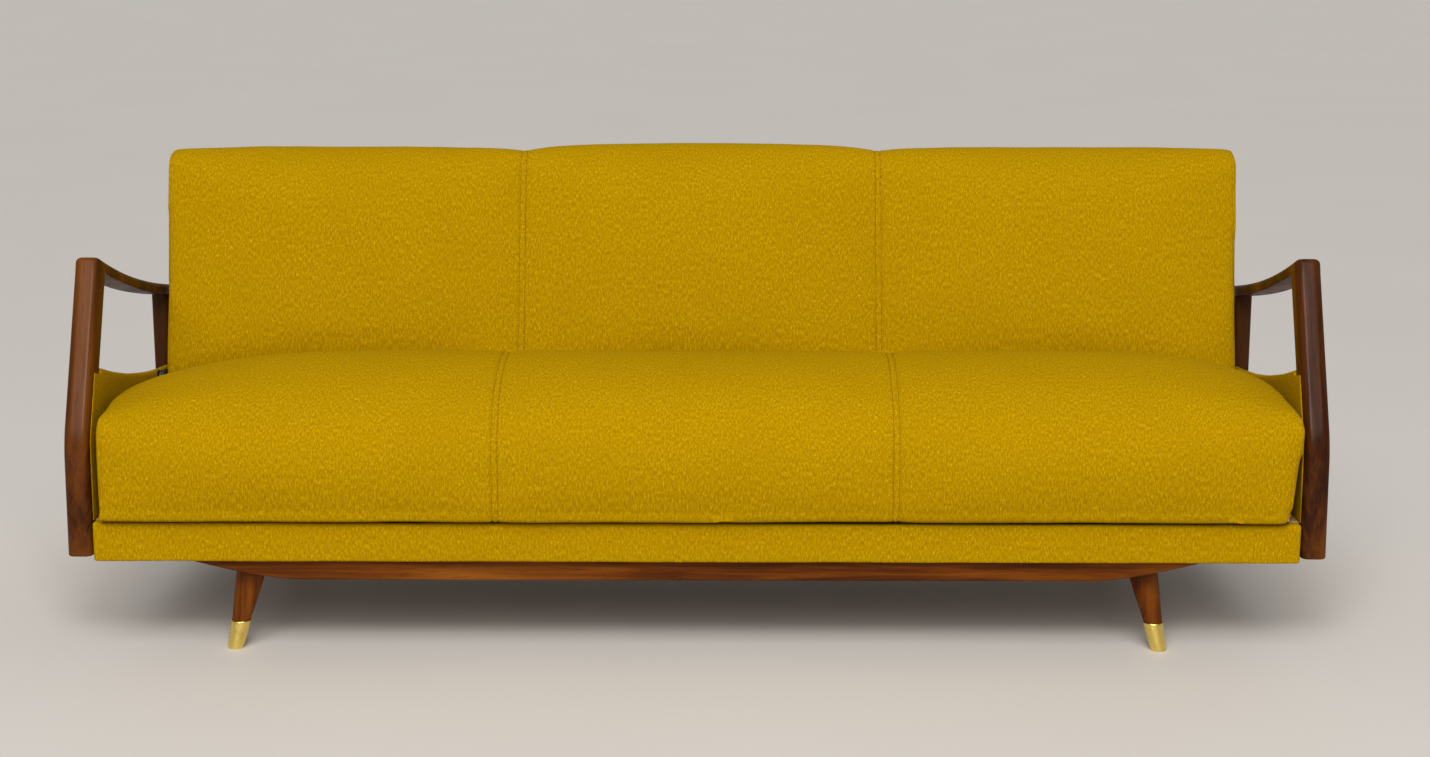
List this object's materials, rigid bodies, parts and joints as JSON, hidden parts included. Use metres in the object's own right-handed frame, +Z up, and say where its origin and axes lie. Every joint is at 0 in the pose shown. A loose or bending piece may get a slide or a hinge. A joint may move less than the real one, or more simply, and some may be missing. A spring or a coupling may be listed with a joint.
{
  "type": "fold-out sofa with wooden legs",
  "caption": "Long upholstered sofa on splayed wooden legs with brass ferrules, bent open wooden arms, a bedding box under the seat and a back that folds flat.",
  "frame": {"origin": "on the floor, midway between the sofa's two ends and between its front-most and rear-most points", "axes": "+X to the viewer's right along the sofa, +Y to the rear, +Z up; names ending in right lie on +X"},
  "size_m": [2.116, 0.7698, 0.7936],
  "materials": {
    "upholstery": "mustard woven wool with a fine heather",
    "walnut_wood": "walnut-stained beech under gloss varnish",
    "frame_wood": "raw planed beech",
    "hardboard": "matt pressed hardboard",
    "ferrule_brass": "polished brass",
    "steel_fittings": "zinc-plated pressed steel",
    "webbing": "woven jute webbing",
    "dust_cloth": "matt black lining cloth",
    "felt": "dense grey felt"
  },
  "bodies": {
    "base": {"front_rail": "upholstery", "rear_rail": "upholstery", "side_rail_left": "frame_wood", "side_rail_right": "frame_wood", "box_floor": "hardboard", "floor_bearer_left": "frame_wood", "floor_bearer_right": "frame_wood", "seat_buffer_left": "felt", "seat_buffer_right": "felt", "keel_rail": "walnut_wood", "leg_block_front_left": "frame_wood", "leg_block_front_right": "frame_wood", "leg_block_rear_left": "frame_wood", "leg_block_rear_right": "frame_wood", "leg_front_left": "walnut_wood", "leg_front_right": "walnut_wood", "leg_rear_left": "walnut_wood", "leg_rear_right": "walnut_wood", "ferrule_front_left": "ferrule_brass", "ferrule_front_right": "ferrule_brass", "ferrule_rear_left": "ferrule_brass", "ferrule_rear_right": "ferrule_brass", "front_post_left": "walnut_wood", "front_post_right": "walnut_wood", "rear_post_left": "walnut_wood", "rear_post_right": "walnut_wood", "armrest_left": "walnut_wood", "armrest_right": "walnut_wood", "side_panel_left": "upholstery", "side_panel_right": "upholstery", "post_bolt_front_left": "steel_fittings", "post_bolt_front_right": "steel_fittings", "post_bolt_rear_left": "steel_fittings", "post_bolt_rear_right": "steel_fittings", "hinge_plate_left": "steel_fittings", "hinge_plate_right": "steel_fittings", "pivot_pin_left": "steel_fittings", "pivot_pin_right": "steel_fittings"},
    "seat": {"seat_cushion": "upholstery", "seat_dust_cover": "dust_cloth", "seat_frame_front": "frame_wood", "seat_frame_rear": "frame_wood", "seat_frame_left": "frame_wood", "seat_frame_right": "frame_wood", "seat_spring_1": "steel_fittings", "seat_spring_2": "steel_fittings", "seat_spring_3": "steel_fittings", "seat_spring_4": "steel_fittings", "seat_spring_5": "steel_fittings", "seat_hinge_arm_left": "steel_fittings", "seat_hinge_arm_right": "steel_fittings"},
    "back": {"back_cushion": "upholstery", "back_cover": "upholstery", "back_frame_bottom": "frame_wood", "back_frame_top": "frame_wood", "back_frame_left": "frame_wood", "back_frame_right": "frame_wood", "back_webbing": "webbing", "back_hinge_arm_left": "steel_fittings", "back_hinge_arm_right": "steel_fittings"}
  },
  "joints": [
    {"name": "seat_lift", "type": "hinge", "parent": "base", "child": "seat", "pos_m": [0, 0.14009, 0.375], "axis": [-1, 0, 0], "range_deg": [0, 30]},
    {"name": "back_fold", "type": "hinge", "parent": "base", "child": "back", "pos_m": [0, 0.14009, 0.375], "axis": [-1, 0, 0], "range_deg": [0, 71.6]}
  ]
}
